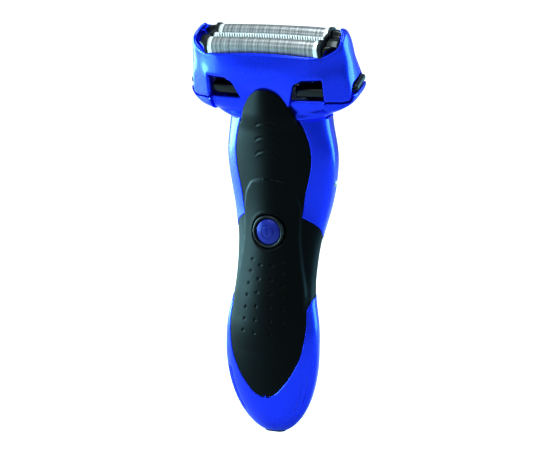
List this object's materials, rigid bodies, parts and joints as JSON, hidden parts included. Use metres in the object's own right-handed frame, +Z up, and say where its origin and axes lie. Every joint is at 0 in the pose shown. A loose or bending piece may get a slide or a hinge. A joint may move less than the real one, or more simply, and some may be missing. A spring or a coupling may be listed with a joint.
{
  "type": "electric shaver",
  "caption": "Foil shaver with tilted lift-off head, floating foils, oscillating blades, waisted rubber grip, push button and pop-up trimmer.",
  "frame": {"origin": "centre of the charging end, at the mouth of the charging socket", "axes": "+Z up the handle towards the head, front with the button faces -Y, +X to the right seen from the front"},
  "size_m": [0.0712, 0.0415, 0.1624],
  "materials": {
    "blue_gloss": "deep blue lacquered plastic",
    "grip_rubber": "satin black elastomer",
    "seal_rubber": "soft dark rubber",
    "cell_wrap": "green sleeve",
    "nickel": "nickel plated",
    "black_plastic": "moulded black plastic",
    "black_gloss": "polished black plastic",
    "board_green": "solder mask",
    "zinc_steel": "zinc plated",
    "motor_steel": "drawn steel can",
    "spring_steel": "spring steel",
    "white_acetal": "natural acetal",
    "button_blue": "translucent violet blue",
    "blade_steel": "ground steel",
    "foil_steel": "etched foil"
  },
  "bodies": {
    "handle": {"front_casing": "blue_gloss", "rear_casing": "blue_gloss", "front_grip": "grip_rubber", "rear_grip": "grip_rubber", "casing_seal": "seal_rubber", "battery_left": "cell_wrap", "battery_right": "cell_wrap", "battery_straps": "nickel", "chassis": "black_plastic", "circuit_board": "board_green", "board_components": "black_plastic", "power_switch": "black_plastic", "button_ring": "black_gloss", "button_seal": "seal_rubber", "charging_socket": "black_plastic", "socket_pins": "nickel", "casing_screws": "zinc_steel", "head_base": "blue_gloss", "head_deck": "black_plastic", "head_block_left": "black_gloss", "head_block_right": "black_gloss", "motor": "motor_steel", "motor_bracket": "zinc_steel", "bracket_screws": "zinc_steel", "shaft_seal": "seal_rubber", "flexure_leaves": "spring_steel", "trimmer_pin": "spring_steel"},
    "power_button": {"power_button": "button_blue"},
    "rotor": {"motor_shaft": "spring_steel", "eccentric_cam": "white_acetal"},
    "oscillator": {"oscillator_bridge": "white_acetal", "blade_springs": "spring_steel"},
    "blade_front": {"blade_carrier_front": "black_plastic", "inner_blade_front": "blade_steel"},
    "blade_middle": {"blade_carrier_middle": "black_plastic", "inner_blade_middle": "blade_steel"},
    "blade_rear": {"blade_carrier_rear": "black_plastic", "inner_blade_rear": "blade_steel"},
    "head": {"head_frame": "blue_gloss", "foil_cassette": "black_plastic", "release_spring_left": "spring_steel", "release_spring_right": "spring_steel"},
    "foil_front": {"foil_front": "foil_steel", "foil_holder_front": "black_plastic"},
    "slit": {"slit_guard": "foil_steel", "slit_holder": "black_plastic"},
    "foil_rear": {"foil_rear": "foil_steel", "foil_holder_rear": "black_plastic"},
    "release_left": {"release_button_left": "black_gloss"},
    "release_right": {"release_button_right": "black_gloss"},
    "trimmer": {"trimmer_door": "black_gloss", "trimmer_comb": "blade_steel"},
    "trimmer_cutter": {"trimmer_cutter": "blade_steel", "cutter_carrier": "black_plastic"},
    "trimmer_slider": {"trimmer_slider": "black_gloss"}
  },
  "joints": [
    {"name": "press_power", "type": "slide", "parent": "handle", "child": "power_button", "axis": [0, 1, 0], "range_m": [0, 0.0006], "stiffness_N_per_m": 400, "springref_m": -0.001, "deforming": ["button_seal"]},
    {"name": "spin_motor", "type": "hinge", "parent": "handle", "child": "rotor", "pos_m": [0, 0.0115, 0.1137], "axis": [0, -0.3746, 0.9272], "continuous": true},
    {"name": "swing_bridge", "type": "slide", "parent": "handle", "child": "oscillator", "axis": [1, 0, 0], "range_m": [-0.001, 0.001], "stiffness_N_per_m": 300, "deforming": ["flexure_leaves"]},
    {"name": "lift_head", "type": "slide", "parent": "handle", "child": "head", "axis": [0, -0.3746, 0.9272], "range_m": [0, 0.026]},
    {"name": "float_foil_front", "type": "slide", "parent": "head", "child": "foil_front", "axis": [0, 0.3746, -0.9272], "range_m": [0, 0.0012], "stiffness_N_per_m": 250, "springref_m": -0.001},
    {"name": "float_slit", "type": "slide", "parent": "head", "child": "slit", "axis": [0, 0.3746, -0.9272], "range_m": [0, 0.0012], "stiffness_N_per_m": 250, "springref_m": -0.001},
    {"name": "float_foil_rear", "type": "slide", "parent": "head", "child": "foil_rear", "axis": [0, 0.3746, -0.9272], "range_m": [0, 0.0012], "stiffness_N_per_m": 250, "springref_m": -0.001},
    {"name": "float_blade_front", "type": "slide", "parent": "oscillator", "child": "blade_front", "axis": [0, 0.3746, -0.9272], "range_m": [0, 0.0012], "deforming": ["blade_springs"]},
    {"name": "float_blade_middle", "type": "slide", "parent": "oscillator", "child": "blade_middle", "axis": [0, 0.3746, -0.9272], "range_m": [0, 0.0012]},
    {"name": "float_blade_rear", "type": "slide", "parent": "oscillator", "child": "blade_rear", "axis": [0, 0.3746, -0.9272], "range_m": [0, 0.0012]},
    {"name": "press_release_left", "type": "slide", "parent": "head", "child": "release_left", "axis": [1, 0, 0], "range_m": [0, 0.0012], "stiffness_N_per_m": 300, "springref_m": -0.001, "deforming": ["release_spring_left"]},
    {"name": "press_release_right", "type": "slide", "parent": "head", "child": "release_right", "axis": [-1, 0, 0], "range_m": [0, 0.0012], "stiffness_N_per_m": 300, "springref_m": -0.001, "deforming": ["release_spring_right"]},
    {"name": "open_trimmer", "type": "hinge", "parent": "handle", "child": "trimmer", "pos_m": [0, 0.0216, 0.1072], "axis": [-1, 0, 0], "range_deg": [0, 60]},
    {"name": "swing_cutter", "type": "slide", "parent": "trimmer", "child": "trimmer_cutter", "axis": [1, 0, 0], "range_m": [-0.001, 0.001]},
    {"name": "push_slider", "type": "slide", "parent": "handle", "child": "trimmer_slider", "axis": [0, 0, 1], "range_m": [0, 0.004]}
  ],
  "couplings": [
    {"joint": "float_blade_front", "follows": "float_foil_front", "ratio": 1},
    {"joint": "float_blade_middle", "follows": "float_slit", "ratio": 1},
    {"joint": "float_blade_rear", "follows": "float_foil_rear", "ratio": 1},
    {"joint": "swing_cutter", "follows": "swing_bridge", "ratio": 1},
    {"joint": "open_trimmer", "follows": "push_slider", "rad_per_m": 261}
  ]
}
